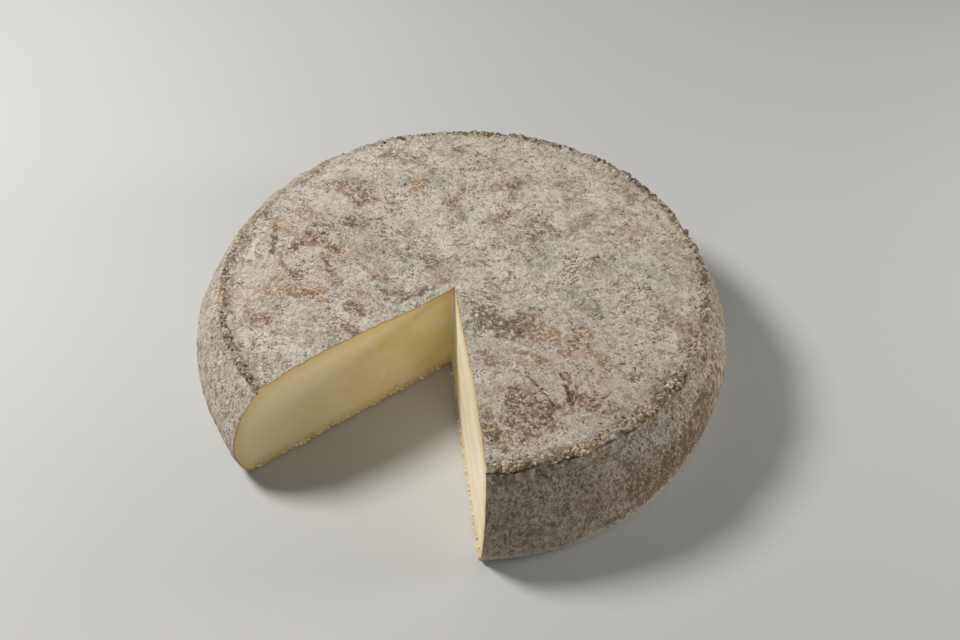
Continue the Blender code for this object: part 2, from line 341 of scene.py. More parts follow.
CRINKLED = (
    (-74, -28, -54, -34, 5.0, 6.0, 0.45), (-62, 34, -44, 38, 5.0, 6.0, 0.8),
    (-52, -8, -44, -16, 5.0, 5.0, 0.7), (4, -14, 16, -28, 7.0, 9.0, 1.0),
    (6, -40, 16, -44, 4.0, 4.0, 0.6), (-40, 20, -34, 6, 5.0, 5.0, 0.5),
    (40, -84, 60, -72, 5.0, 4.0, 0.4),
)
PITTED = (
    (3, -21, 17, -33, 6.0, 6.0, 1.0), (-31, -12, -15, -5, 3.4, 3.0, 1.0),
    (-74, 0, -60, 2, 6.0, 6.0, 0.3), (30, 10, 70, -20, 20.0, 16.0, 0.5),
    (-60, 30, -50, 35, 5.0, 5.0, 0.5),
)

# %% [markdown]
# ## Marks on the heel and on the side that isn't seen
# The heel's strokes are given by bearing in degrees and height in millimetres. The back of the
# wheel is finished like the front: a seeded draw scatters strokes of the same sizes there.

# %% Marks on the heel and at the back
HEEL_BROWN = (
    (300, 26, 330, 20, 9.0, 10.0, 0.6), (325, 30, 345, 12, 5.0, 6.0, 0.6),
    (302, 21, 324, 26, 6.5, 8.0, 1.0), (306, 14, 324, 17, 5.0, 6.0, 0.9),
    (319, 30, 330, 28, 4.0, 5.0, 0.9), (296, 9, 305, 11, 1.4, 1.8, 0.8),
    (286, 28, 296, 22, 3.0, 4.0, 0.5), (182, 23, 184, 21, 2.0, 2.0, 0.8),
    (330, 22, 344, 12, 4.0, 4.0, 0.7),
)
HEEL_PALE = (
    (313, 41, 318, 28, 1.8, 2.6, 1.0), (322, 41, 326, 31, 1.6, 2.4, 1.0),
    (302, 38, 318, 33, 4.0, 4.0, 0.9), (270, 4, 330, 4, 3.0, 3.0, 0.8),
    (200, 30, 206, 18, 3.0, 3.0, 0.5), (346, 38, 349, 20, 2.0, 2.4, 0.6),
)
HEEL_ORANGE = (
    (334, 38, 338, 14, 1.6, 2.4, 0.9), (341, 36, 344, 16, 1.4, 1.6, 0.7),
    (306, 26, 316, 20, 4.0, 4.0, 0.6), (327, 30, 332, 16, 1.6, 2.0, 0.6),
)
HEEL_STREAKED = (
    (334, 36, 340, 8, 9.0, 10.0, 1.0), (318, 34, 328, 20, 5.0, 5.0, 0.7),
    (352, 34, 356, 10, 8.0, 8.0, 0.7),
)
MM_PER_DEGREE = math.radians(1.0) * BELLY_RADIUS * 1000.0

draw = random.Random(63210)


def scattered_on_top(count, width, strength):
    strokes = []
    while len(strokes) < count:
        x, y = draw.uniform(-90, 96), draw.uniform(-30, 96)
        seen_in_front = y < 0.0 and x < 60.0 or x < -30.0 and y < 70.0
        if seen_in_front or math.hypot(x, y) > 92.0:
            continue
        slant, run = math.radians(draw.choice((-55, 50, 10)) + draw.uniform(-12, 12)), draw.uniform(4, 15)
        wide = width * draw.uniform(0.5, 1.4)
        strokes.append((x, y, x + run * math.cos(slant), y + run * math.sin(slant), wide,
                        wide * draw.uniform(0.3, 1.6), strength * draw.uniform(0.5, 1.0)))
    return strokes


def scattered_on_heel(count, width, strength):
    strokes = []
    for _ in range(count):
        bearing, height = draw.uniform(-8, 168), draw.uniform(6, 38)
        strokes.append((bearing, height, bearing + draw.uniform(-4, 4), height + draw.uniform(-12, 12),
                        width * draw.uniform(0.5, 1.3), width * draw.uniform(0.5, 1.3),
                        strength * draw.uniform(0.5, 1.0)))
    return strokes


TOP_MARKS = {
    "brown": (*BROWN, *scattered_on_top(16, 2.6, 0.8)),
    "orange": (*ORANGE, *scattered_on_top(12, 2.8, 0.8)),
    "pink": (*PINK, *scattered_on_top(8, 5.0, 0.6)),
    "pale": (*PALE, *scattered_on_top(12, 3.4, 0.8)),
    "crease": (*CREASE, *scattered_on_top(6, 0.5, 0.9)),
    "pitted": PITTED,
    "crinkled": (*CRINKLED, *scattered_on_top(12, 5.0, 1.0)),
    "gold": GOLD,
    "streaked": (),
}
HEEL_MARKS = {
    "brown": (*HEEL_BROWN, *scattered_on_heel(16, 3.6, 0.8)),
    "orange": (*HEEL_ORANGE, *scattered_on_heel(9, 2.2, 0.8)),
    "pink": (),
    "pale": (*HEEL_PALE, *scattered_on_heel(12, 2.2, 0.8)),
    "crease": (),
    "pitted": (),
    "crinkled": scattered_on_heel(5, 4.0, 0.8),
    "streaked": (*HEEL_STREAKED, *scattered_on_heel(6, 5.0, 0.9)),
    "gold": (),
}
print({kind: len(strokes) for kind, strokes in TOP_MARKS.items()}, "marks on the top")

# %% [markdown]
# ## How strong a mark is at a point
# A stroke is a line with a width that changes from end to end. The distance from the line over
# the width there gives a strength that fades at the border, and noise frays that border.

# %% Strength of the marks
FRAY = 0.75


def stroke_strength(x, y, stroke, fray):
    x0, y0, x1, y1, wide0, wide1, strength = stroke
    reach = max(wide0, wide1) * 2.2
    if not (min(x0, x1) - reach < x < max(x0, x1) + reach and min(y0, y1) - reach < y < max(y0, y1) + reach):
        return 0.0
    run = max((x1 - x0) ** 2 + (y1 - y0) ** 2, 1e-6)
    share = min(max(((x - x0) * (x1 - x0) + (y - y0) * (y1 - y0)) / run, 0.0), 1.0)
    away = math.hypot(x - x0 - share * (x1 - x0), y - y0 - share * (y1 - y0))
    return strength * (1.0 - ease(0.35, 1.55, away / (wide0 + (wide1 - wide0) * share) + fray))


def marks_at(point, on_heel):
    """The strength of each kind of mark at a point of the rind."""
    fray = FRAY * (wander(point, 0.0060, 12.3) + 0.8 * wander(point, 0.0024, 4.9))
    x, y = point[0] * 1000.0, point[1] * 1000.0
    bearing = math.degrees(math.atan2(y, x)) % 360.0
    strengths = {}
    for kind in TOP_MARKS:
        top = bottom = 0.0
        if on_heel < 1.0:
            top = max((stroke_strength(x, y, stroke, fray) for stroke in TOP_MARKS[kind]), default=0.0)
        if on_heel > 0.0:
            for b0, z0, b1, z1, wide0, wide1, strength in HEEL_MARKS[kind]:
                middle = (b0 + b1) / 2
                along = math.remainder(bearing - middle, 360.0) * MM_PER_DEGREE
                ends = (b0 - middle) * MM_PER_DEGREE, (b1 - middle) * MM_PER_DEGREE
                stroke = (ends[0], z0, ends[1], z1, wide0, wide1, strength)
                bottom = max(bottom, stroke_strength(along, point[2] * 1000.0, stroke, fray))
        strengths[kind] = top * (1.0 - on_heel) + bottom * on_heel
    return strengths


# %% [markdown]
# ## Fine relief
# Up close the rind is crumbly: bumps of two or three millimetres, straight ribs left by straw,
# and a seam that breaks up into crags. All of this is real geometry. Only what is finer than a
# millimetre is left to the material's bump.

# %% Fine relief
SMOOTH_BEARING, BROAD_BEARING = math.radians(140.0), math.radians(-60.0)
RIM_OUTER, NARROW_RIM, RIM_GROWTH = 0.1002, 0.0016, 0.0022
COARSE_CRUMB, FINE_CRUMB, ROUND_CRUMB = 0.00032, 0.00024, 0.00030
STRAW_RIB, RIM_FIBRE, HEEL_RIB = 0.00022, 0.00080, 0.00030
STAIN_DIP, CREASE_DEPTH, BLOOM_RISE, PIT_DEPTH = 0.00025, 0.00060, 0.00015, 0.00090
CRAG_HEIGHT, CRAG_GRAIN, GOLDEN_LUMP, PRESSED_FLAT = 0.0014, 0.0004, 0.0007, 0.0006
GROOVE_DEPTH, GROOVE_BELOW_TUCK, GROOVE_SPREAD = 0.0008, 0.0004, 0.0007


def ribs(point, direction, seed):
    """Noise that is drawn out along one direction, as straw leaves it."""
    turned = Quaternion((0, 0, 1), -math.radians(direction)) @ Vector(point)
    drawn_out = Vector((turned.x / 0.016, turned.y / 0.0024, turned.z / 0.006))
    return noise.noise(drawn_out + Vector((seed, seed, seed)))


def lumps(point, size, seed):
    """Rounded crumbs with sharp creases between them: 1 at a crumb's middle, about 0 in a crease."""
    distance = noise.voronoi(Vector(point) / size + Vector((seed, seed, seed)))[0][0]
    return 1.0 - min(distance * 1.25, 1.3)


def smooth_rim(point):
    """1 at the back left, where the seam was pressed nearly flat, and 0 away from there."""
    return bell(math.remainder(math.atan2(point[1], point[0]) - SMOOTH_BEARING, math.tau), 0.0, 0.75)


def rim_width(point):
    """How wide the crumbly seam is: broad in front and on the right, narrow on the left."""
    turn = math.remainder(math.atan2(point[1], point[0]) - BROAD_BEARING, math.tau)
    return NARROW_RIM + RIM_GROWTH * bell(turn, 0.0, 0.95)


def rim_fibres(point):
    """Fine ridges that run round the wheel just inside the seam, as the cloth's edge leaves them."""
    radius, angle = math.hypot(point[0], point[1]), math.atan2(point[1], point[0])
    where = Vector((radius / 0.0012, math.cos(angle) * 5.0, math.sin(angle) * 5.0))
    return bell(radius, 0.0920, 0.0036) * (noise.noise(where) + 0.5 * noise.noise(where * 2.1))


def fine_strays(point, radius, marks, on_top, on_heel):
    """How far this point is lifted (on the top) and pushed out (on the heel) by what is small."""
    on_seam = on_top * bell(radius, RIM_OUTER - rim_width(point) * 0.5, rim_width(point) * 1.15)
    crumbs = COARSE_CRUMB * wander(point, 0.0036, 21.0) + FINE_CRUMB * wander(point, 0.0019, 33.0)
    crumbs += ROUND_CRUMB * lumps(point, 0.0030, 2.0)
    which = ease(-0.25, 0.25, wander(point, 0.022, 2.2))
    straw = STRAW_RIB * (ribs(point, 52, 3.0) * which + ribs(point, -58, 7.0) * (1.0 - which))
    dips = -STAIN_DIP * marks["brown"] - CREASE_DEPTH * marks["crease"] + BLOOM_RISE * marks["pale"]
    straw += RIM_FIBRE * rim_fibres(point)
    pits = -PIT_DEPTH * marks["pitted"] * ease(0.10, 0.40, wander(point, 0.0034, 15.0))
    lift = crumbs + straw + dips + pits
    crags = CRAG_HEIGHT * (lumps(point, 0.0037, 5.0) - 0.30)
    crags += CRAG_HEIGHT * (lumps(point, 0.0022, 8.0) - 0.35)
    crags += CRAG_GRAIN * wander(point, 0.0018, 47.0)
    crags += GOLDEN_LUMP * marks["gold"] * (lumps(point, 0.0026, 9.0) + 0.3)
    upright = Vector((point[0] / 0.0030, point[1] / 0.0030, point[2] / 0.009))
    heel_ribs = noise.noise(upright + Vector((5, 1, 2)))
    crags = crags * (1.0 - 0.7 * smooth_rim(point)) - PRESSED_FLAT * smooth_rim(point)
    push = (crumbs * 0.9 + HEEL_RIB * heel_ribs + dips * 0.7) * on_heel + crags * on_seam
    groove = GROOVE_DEPTH + GROOVE_DEPTH * wander(point, 0.0050, 14.0)
    groove *= bell(point[2], TUCK_HEIGHT - GROOVE_BELOW_TUCK, GROOVE_SPREAD)
    push -= groove * on_heel * (1.0 - 0.8 * smooth_rim(point))
    return lift * on_top * (1.0 - 0.5 * on_seam) + crags * on_seam * 0.7, push


# %% [markdown]
# ## Place every corner
# A corner's bearing, radius and height give its perfect place. The strays then move it up, and
# in or out along its bearing.

# %% Place a corner
MARKED_ABOVE, TOP_MARKS_ZONE = 0.002, (0.0405, 0.0425)


def uneven(angle, radius, height):
    """Where the corner with this perfect place really is, and the strengths of the marks there."""
    way = Vector((math.cos(angle), math.sin(angle), 0.0))
    point = way * radius + Vector((0.0, 0.0, height))
    on_top = ease(*TOP_ZONE, height)
    on_seam = on_top * bell(radius, SEAM_CREST, SEAM_SPREAD)
    on_heel = ease(*HEEL_ZONE, radius) * ease(*BASE_ZONE, height)
    lift, push = broad_strays(point, angle, radius, height, on_top, on_seam, on_heel)
    marks = dict.fromkeys(TOP_MARKS, 0.0)
    lift *= on_top
    if height > MARKED_ABOVE:
        marks = marks_at(point, 1.0 - ease(*TOP_MARKS_ZONE, height))
        fine_lift, fine_push = fine_strays(point, radius, marks, on_top, on_heel)
        lift, push = lift + fine_lift, push + fine_push
    place = way * (radius + push) + TOP_SHIFT * ease(0.0, TOP_HEIGHT, height)
    return place + Vector((0.0, 0.0, height + lift)), marks


# %% [markdown]
# ## Build the whole wheel
# The rings are joined while they are still perfect circles, and the finished corners are moved
# afterwards. What belongs to the rim, such as the painted shadow under the lip, is noted at the
# same time, while a corner's perfect place is still known.

# %% Build the whole wheel
def rim_marks(point, radius, height):
    """How much there is of the seam's crumbs, of its nose of brown crumbs and painted shade, and of the
    painted shadow under the lip.
    """
    broken, kept = wander(point, 0.0060, 3.0), 1.0 - 0.8 * smooth_rim(point)
    width = rim_width(point)
    seam = bell(radius, RIM_OUTER - width * 0.5, width) * ease(0.0385, 0.0425, height)
    seam *= (0.8 + wander(point, 0.020, 6.0)) * kept
    # The nose, the outer lower side of the lip, is darkened partly with brown crumbs and partly with painted
    # shade.
    outer = ease(0.0988, 0.1000, radius) * ease(TUCK_HEIGHT - 0.0004, TUCK_HEIGHT, height)
    nose = outer * (0.75 + 1.6 * broken) * kept
    under = 1.0 - ease(TUCK_HEIGHT, TUCK_HEIGHT + 0.0004, height)
    # Painted shadow: a dark line just under the lip, where its overhang throws shade.
    painted_lip_shadow = under * bell(height, TUCK_HEIGHT - 0.0003, 0.0006) * (0.9 + 1.4 * broken) * kept
    return {"seam": seam, "nose": nose, "lip_shadow": painted_lip_shadow * ease(0.0975, 0.0988, radius)}


def mesh_from(name, shape):
    bmesh.ops.triangulate(shape, faces=shape.faces[:])
    bmesh.ops.recalc_face_normals(shape, faces=shape.faces[:])
    mesh = bpy.data.meshes.new(name)
    shape.to_mesh(mesh)
    shape.free()
    mesh.shade_smooth()
    return mesh


def next_ring(shape, edges, radius, height):
    """Extrude a ring of edges and move the new ring to its own radius and height."""
    made = bmesh.ops.extrude_edge_only(shape, edges=edges)["geom"]
    for corner in made:
        if isinstance(corner, bmesh.types.BMVert):
            way = corner.co.xy.normalized()
            corner.co = (way.x * radius, way.y * radius, height)
    return [edge for edge in made if isinstance(edge, bmesh.types.BMEdge) and edge.is_boundary]


def fresh_ring(shape, radius, height, corners):
    ring = bmesh.ops.create_circle(shape, segments=corners, radius=radius)["verts"]
    bmesh.ops.translate(shape, verts=ring, vec=(0.0, 0.0, height))
    return list({edge for corner in ring for edge in corner.link_edges})


def whole_wheel():
    shape = bmesh.new()
    (radius, height, corners), *rest = ring_outline()
    edges = fresh_ring(shape, radius, height, corners)
    bmesh.ops.contextual_create(shape, geom=edges)
    for radius, height, wanted in rest:
        if wanted == corners:
            edges = next_ring(shape, edges, radius, height)
        else:
            wider = fresh_ring(shape, radius, height, wanted)
            bmesh.ops.bridge_loops(shape, edges=edges + wider)
            edges, corners = wider, wanted
    bmesh.ops.contextual_create(shape, geom=edges)
    noted = []
    for corner in shape.verts:
        radius, height = corner.co.xy.length, corner.co.z
        on_rim = rim_marks(corner.co, radius, height)
        corner.co, marks = uneven(math.atan2(corner.co.y, corner.co.x), radius, height)
        noted.append({**marks, **on_rim})
    return mesh_from("whole_wheel", shape), noted


whole, noted = whole_wheel()
print("whole wheel:", len(whole.polygons), "triangles")

# %% [markdown]
# ## The knife's two cuts
# A wedge-shaped block is taken away from the wheel. Its two long sides are a sheet bent into a
# V, with the slight waves that a long knife leaves. Close to the underside the blade drags and
# tears the rind, so the lowest millimetres are ragged.

# %% The wedge to take away
APEX_TOP, APEX_FOOT = Vector((-0.0036, -0.0057)), Vector((-0.0056, -0.0040))
LEFT_RIM_TOP, LEFT_RIM_FOOT = Vector((-0.0832, -0.0555)), Vector((-0.0907, -0.0597))
RIGHT_RIM_TOP, RIGHT_RIM_FOOT = Vector((0.0020, -0.1000)), Vector((-0.0010, -0.1100))
RIGHT_BOW, BOW_MIDDLE, BOW_SPREAD = 0.0010, 0.055, 0.040
KNIFE_REACH, KNIFE_TOP, KNIFE_FOOT = 0.160, 0.056, -0.006
KNIFE_COLUMNS, KNIFE_ROWS = 280, 52
APEX_KEPT_TRUE = 0.025
BLADE_WANDER, BLADE_HOLLOW, DRAG_LINES, DRAG_GRAIN = 0.0003, 0.0005, 0.00007, 0.00003
FOOT_RAG, TOP_RAG = 0.0008, 0.00022


def knife_point(along, rise):
    """A point of the V: along is -1 to 1 from rim to rim, rise is 0 at its foot and 1 at its top."""
    side = -1.0 if along < 0.0 else 1.0
    rims = (LEFT_RIM_FOOT, LEFT_RIM_TOP) if along < 0.0 else (RIGHT_RIM_FOOT, RIGHT_RIM_TOP)
    apex = APEX_FOOT.lerp(APEX_TOP, rise)
    way = (rims[0].lerp(rims[1], rise) - apex).normalized()
    outward = Vector((-way.y, way.x)) * side
    reach = abs(along) * KNIFE_REACH
    height = KNIFE_FOOT + (KNIFE_TOP - KNIFE_FOOT) * rise
    point = (*(apex + way * reach), height)
    stray = BLADE_WANDER * wander(point, 0.030, 4.4)
    stray -= BLADE_HOLLOW * math.sin(math.pi * min(max(height / TOP_HEIGHT, 0.0), 1.0))
    if along > 0.0:
        stray += RIGHT_BOW * rise * bell(reach, BOW_MIDDLE, BOW_SPREAD)
    drag = noise.noise(Vector((reach / 0.045, height / 0.0030, side * 9.0)))
    torn = wander(point, 0.0042, 8.0) + 0.7 * wander(point, 0.0019, 5.0)
    fine = DRAG_LINES * drag + DRAG_GRAIN * wander(point, 0.0022, 2.0)
    fine += FOOT_RAG * torn * (1.0 - ease(0.0008, 0.0050, height))
    fine += TOP_RAG * torn * ease(0.041, 0.0455, height)
    offset = stray * ease(0.0, APEX_KEPT_TRUE, reach) + fine * ease(0.0, 0.004, reach)
    return (*(apex + way * reach + outward * offset), height)


def wedge_block():
    shape = bmesh.new()
    grid = bmesh.ops.create_grid(shape, x_segments=KNIFE_COLUMNS, y_segments=KNIFE_ROWS, size=1.0)
    sheet = grid["verts"]
    borders = (
        [corner for corner in sheet if corner.co.y < -0.999],
        [corner for corner in sheet if corner.co.y > 0.999],
        [corner for corner in sheet if abs(corner.co.x) > 0.999],
    )
    for corner in sheet:
        corner.co = knife_point(corner.co.x, (corner.co.y + 1.0) / 2.0)
    for border in borders:
        bmesh.ops.contextual_create(shape, geom=border)
    return mesh_from("wedge_block", shape)


block = wedge_block()
print("wedge block:", len(block.polygons), "triangles")

# %% [markdown]
# ## Node helpers
# A material here is a stack of masks, and each mask is noise of a known size in metres. These
# helpers add a node or two each, so that the recipes below read like a list of layers. A Mapping
# node of the texture kind divides by a size, so every size here is in metres.

# %% Node helpers
class Recipe:
    def __init__(self, name, roughness):
        self.material = bpy.data.materials.new(name)
        self.material.use_nodes = True
        self.tree = self.material.node_tree
        self.shader = self.tree.nodes["Principled BSDF"]
        self.shader.inputs["Roughness"].default_value = roughness
        self.place = self.add("ShaderNodeTexCoord").outputs["Object"]

    def add(self, kind, inputs=None, **settings):
        node = self.tree.nodes.new(kind)
        for name, value in settings.items():
            setattr(node, name, value)
        for name, value in (inputs or {}).items():
            self.put(node.inputs[name], value)
        return node

    def put(self, socket, value):
        if isinstance(value, bpy.types.NodeSocket):
            self.tree.links.new(value, socket)
        else:
            socket.default_value = value

    def noise(self, size, seed, detail=2.0, turn=0.0, rough=0.5, curl=0.0):
        size = (size,) * 3 if isinstance(size, float) else size
        where = self.add("ShaderNodeMapping", {
            "Vector": self.place, "Location": (seed, seed * 0.7, -seed),
            "Rotation": (0, 0, math.radians(turn)), "Scale": size}, vector_type="TEXTURE")
        return self.add("ShaderNodeTexNoise", {
            "Vector": where.outputs[0], "Scale": 1.0, "Detail": detail, "Roughness": rough,
            "Distortion": curl}).outputs[0]

    def cells(self, size, seed, fray):
        """Crumbs: how far each place is from its crumb's middle, and a random shade for each crumb."""
        warp = self.add("ShaderNodeTexNoise", {"Vector": self.place, "Scale": 1.0 / (size * 0.8)})
        where = self.add("ShaderNodeMapping", {
            "Vector": self.place, "Location": (seed, seed, seed), "Scale": (size,) * 3},
            vector_type="TEXTURE")
        scaled = self.add("ShaderNodeVectorMath", {0: warp.outputs["Color"], 1: (fray,) * 3},
                          operation="MULTIPLY")
        moved = self.add("ShaderNodeVectorMath", {0: where.outputs[0], 1: scaled.outputs[0]}, operation="ADD")
        crumb = self.add("ShaderNodeTexVoronoi", {"Vector": moved.outputs[0], "Scale": 1.0})
        shade = self.add("ShaderNodeSeparateColor", {0: crumb.outputs["Color"]})
        return crumb.outputs["Distance"], shade.outputs[0]

    def ramp(self, value, *stops):
        """Colours at given values, blended between them."""
        node = self.add("ShaderNodeValToRGB", {0: value})
        band = node.color_ramp.elements
        while len(band) < len(stops):
            band.new(0.5)
        for element, (position, colour) in zip(band, stops):
            element.position = position
            element.color = (*colour, 1.0)
        return node.outputs[0]

    def mark(self, name):
        return self.add("ShaderNodeAttribute", attribute_name=name).outputs["Fac"]

    def step(self, value, low, high):
        """0 below low, 1 above high, soft between."""
        return self.add("ShaderNodeMapRange", {"Value": value, "From Min": low, "From Max": high},
                        interpolation_type="SMOOTHSTEP").outputs[0]

    def math(self, operation, first, second):
        node = self.add("ShaderNodeMath", operation=operation)
        self.put(node.inputs[0], first)
        self.put(node.inputs[1], second)
        return node.outputs[0]

    times = partialmethod(math, "MULTIPLY")
    plus = partialmethod(math, "ADD")
    minus = partialmethod(math, "SUBTRACT")
    most = partialmethod(math, "MAXIMUM")
    least = partialmethod(math, "MINIMUM")

    def sum_of(self, *parts):
        """Values added up, each of them times its own weight."""
        total, *others = [self.times(value, weight) for value, weight in parts]
        for other in others:
            total = self.plus(total, other)
        return total

    def mix(self, share, first, second, blend="MIX"):
        node = self.add("ShaderNodeMix", data_type="RGBA", blend_type=blend)
        for index, value in ((0, share), (6, first), (7, second)):
            colour = isinstance(value, tuple)
            self.put(node.inputs[index], (*value, 1.0) if colour else value)
        return node.outputs[2]

    def finish(self, colour, height, depth):
        """Colour on the shader, and a bump that is so many metres deep from 0 to 1 of its height."""
        self.put(self.shader.inputs["Base Color"], colour)
        bump = self.add("ShaderNodeBump", {"Height": height, "Distance": depth, "Strength": 1.0})
        self.put(self.shader.inputs["Normal"], bump.outputs[0])
        return self.material


# %% [markdown]
# ## The rind's ground
# The natural rind is a felt of dry moulds: a grey beige that shifts over a centimetre or two,
# murky in some clouds and under a pale bloom in others. Noises of three sizes serve all of its
# layers, so that a pale crest and a dark pit never fall together. The pale crests are partly
# bloom and partly painted highlight on the raised grains of the relief.

# %% Rind ground
GROUND_TINTS = (
    (0.36, (0.430, 0.395, 0.290)), (0.44, (0.550, 0.500, 0.390)), (0.50, (0.620, 0.515, 0.405)),
    (0.56, (0.590, 0.525, 0.415)), (0.64, (0.730, 0.660, 0.550)),
)
# CREST is partly the pale bloom on raised grains and partly a painted highlight.
CREST, BLOOM, CLOUD_SHADE = (0.800, 0.735, 0.625), (0.720, 0.670, 0.590), (0.600, 0.540, 0.460)
GRAIN_SIZE, FELT_SIZE, FLECK_SIZE, CRUMB_SIZE = 0.0026, 0.0020, 0.0010, 0.0013
TINT_SIZE, CLOUD_SIZE, BLOOM_SIZE = 0.0150, 0.0064, 0.0050


def shared_noises(rind):
    """The places and noises that every layer reads."""
    rind.across, _, rind.rise = rind.add("ShaderNodeSeparateXYZ", {0: rind.place}).outputs
    rind.grain = rind.noise(GRAIN_SIZE, 5.0, detail=5.0, rough=0.66)
    rind.felt = rind.noise(FELT_SIZE, 23.0, detail=3.0, rough=0.62, curl=2.4)
    rind.fleck = rind.noise(FLECK_SIZE, 3.0, detail=3.0, rough=0.65)
    _, shade = rind.cells(CRUMB_SIZE, 3.0, 0.9)
    rind.tone = rind.sum_of((rind.grain, 0.32), (rind.felt, 0.38), (rind.fleck, 0.30))
    rind.lumpy = rind.sum_of((rind.grain, 0.25), (rind.fleck, 0.50), (shade, 0.25))
    # The crests: where the relief is high, painted paler, partly as bloom and partly as painted highlight.
    rind.crest = rind.step(rind.tone, 0.506, 0.576)


def ground(rind):
    colour = rind.ramp(rind.noise(TINT_SIZE, 7.0, detail=5.0, rough=0.62), *GROUND_TINTS)
    cloud = rind.noise(CLOUD_SIZE, 17.0, detail=4.0, rough=0.62, curl=0.6)
    murky = rind.times(rind.step(cloud, 0.49, 0.36), 0.70)
    colour = rind.mix(murky, colour, rind.mix(1.0, colour, CLOUD_SHADE, blend="MULTIPLY"))
    bloom = rind.noise(BLOOM_SIZE, 13.0, detail=4.0, rough=0.6)
    bloom = rind.plus(bloom, rind.times(rind.mark("pale"), 0.30))
    bloom = rind.most(rind.step(bloom, 0.54, 0.72), rind.step(cloud, 0.52, 0.68))
    colour = rind.mix(rind.times(bloom, 0.65), colour, BLOOM)
    return rind.mix(rind.times(rind.crest, 0.72), colour, CREST)


# %% [markdown]
# ## The rind's stains
# Pink, ochre and brown patches show where the bloom is thin. The strokes say where a stain lies,
# and the shared noises break it into grains. A stain runs from dark to pale from one crumb to
# the next, because a single brown would look painted on. The heel has long upright streaks too.

# %% Rind stains
BROWN_CRUMBS = (
    (0.36, (0.090, 0.050, 0.030)), (0.45, (0.250, 0.148, 0.084)), (0.53, (0.420, 0.272, 0.172)),
    (0.62, (0.620, 0.505, 0.395)),
)
ORANGE_CRUMBS = (
    (0.36, (0.210, 0.125, 0.060)), (0.45, (0.400, 0.250, 0.125)), (0.53, (0.550, 0.385, 0.215)),
    (0.62, (0.680, 0.560, 0.420)),
)
PINK_CRUMBS = (
    (0.34, (0.270, 0.175, 0.130)), (0.46, (0.460, 0.325, 0.255)), (0.55, (0.550, 0.425, 0.345)),
    (0.66, (0.630, 0.545, 0.460)),
)
STREAKS = (
    (0.36, (0.120, 0.072, 0.038)), (0.45, (0.340, 0.230, 0.115)), (0.53, (0.660, 0.500, 0.270)),
    (0.62, (0.860, 0.780, 0.600)),
)
STAINS = (("pink", PINK_CRUMBS, 0.80), ("orange", ORANGE_CRUMBS, 0.85), ("brown", BROWN_CRUMBS, 0.90))
STREAKED_SHARE, STREAK_SIZE = 0.80, (0.0020, 0.0020, 0.0140)


def stained(rind, colour):
    patchy = rind.sum_of((rind.grain, 0.45), (rind.felt, 0.30), (rind.fleck, 0.45))
    for name, crumbs, strong in STAINS:
        share = rind.step(rind.plus(patchy, rind.times(rind.mark(name), 0.60)), 0.64, 1.18)
        colour = rind.mix(rind.times(share, strong), colour, rind.ramp(rind.lumpy, *crumbs))
    # Pale crests again over the stains: partly flaky bloom, partly painted highlight.
    colour = rind.mix(rind.times(rind.crest, 0.30), colour, CREST)
    streaks = rind.ramp(rind.noise(STREAK_SIZE, 47.0, detail=3.0), *STREAKS)
    return rind.mix(rind.times(rind.mark("streaked"), STREAKED_SHARE), colour, streaks)


# %% [markdown]
# ## The rind of the heel
# The heel is a greyer brown than the top, and in front and, less so, on the right it is darker
# with painted shade. Towards the right it is mottled in dark brown and pale grey, drawn out
# upwards, and its foot is a smooth greenish grey where the cheese was damp.

# %% Rind heel
HEEL_GREY_AND_SHADE, FOOT_TINT = (0.600, 0.565, 0.545), (0.540, 0.540, 0.445)
HEEL_DARK, HEEL_BLOOM = (0.160, 0.085, 0.050), (0.780, 0.715, 0.620)
MOTTLE_SIZE = (0.0016, 0.0016, 0.0034)
FOOT_START, FOOT_FULL = 0.0105, 0.0070


def heeled(rind, colour):
    heel = rind.mark("heel")
    uneven_heel = rind.plus(rind.times(rind.step(rind.across, 0.045, 0.085), 0.80), 0.12)
    uneven_heel = rind.times(uneven_heel, heel)
    streaked = rind.times(rind.mark("streaked"), STREAKED_SHARE)
    uneven_heel = rind.times(uneven_heel, rind.minus(1.0, streaked))
    rusty = rind.plus(rind.times(rind.mark("brown"), 0.95), 0.25)
    dark_side = rind.times(uneven_heel, rusty)
    pale_side = rind.times(uneven_heel, rind.minus(1.2, rusty))
    mottle = rind.noise(MOTTLE_SIZE, 53.0, detail=4.0, rough=0.66)
    colour = rind.mix(rind.times(rind.step(mottle, 0.55, 0.45), dark_side), colour, HEEL_DARK)
    colour = rind.mix(rind.times(rind.step(mottle, 0.50, 0.59), pale_side), colour, HEEL_BLOOM)
    # Painted shade mixed with the heel's greyer colour: full in front, little on the left, less again on the
    # far right.
    painted_heel_shade = rind.plus(rind.times(rind.step(rind.across, -0.070, -0.010), 0.75), 0.25)
    painted_heel_shade = rind.minus(painted_heel_shade, rind.times(rind.step(rind.across, 0.035, 0.085), 0.45))
    colour = rind.mix(rind.times(heel, painted_heel_shade), colour, HEEL_GREY_AND_SHADE, blend="MULTIPLY")
    ragged_rise = rind.plus(rind.rise, rind.times(rind.noise(0.0060, 3.0, detail=3.0), 0.006))
    rind.foot = rind.times(rind.step(ragged_rise, FOOT_START, FOOT_FULL), heel)
    return rind.mix(rind.times(rind.foot, 0.75), colour, FOOT_TINT)


# %% [markdown]
# ## The rind's rim
# Along the seam the rind is a band of mixed crumbs, golden in some spots and dark on the outer
# side of the lip, where brown crumbs and painted shade under the lip's crumbs are mixed. Where the
# knife passed, a thin rusty line borders the paste.

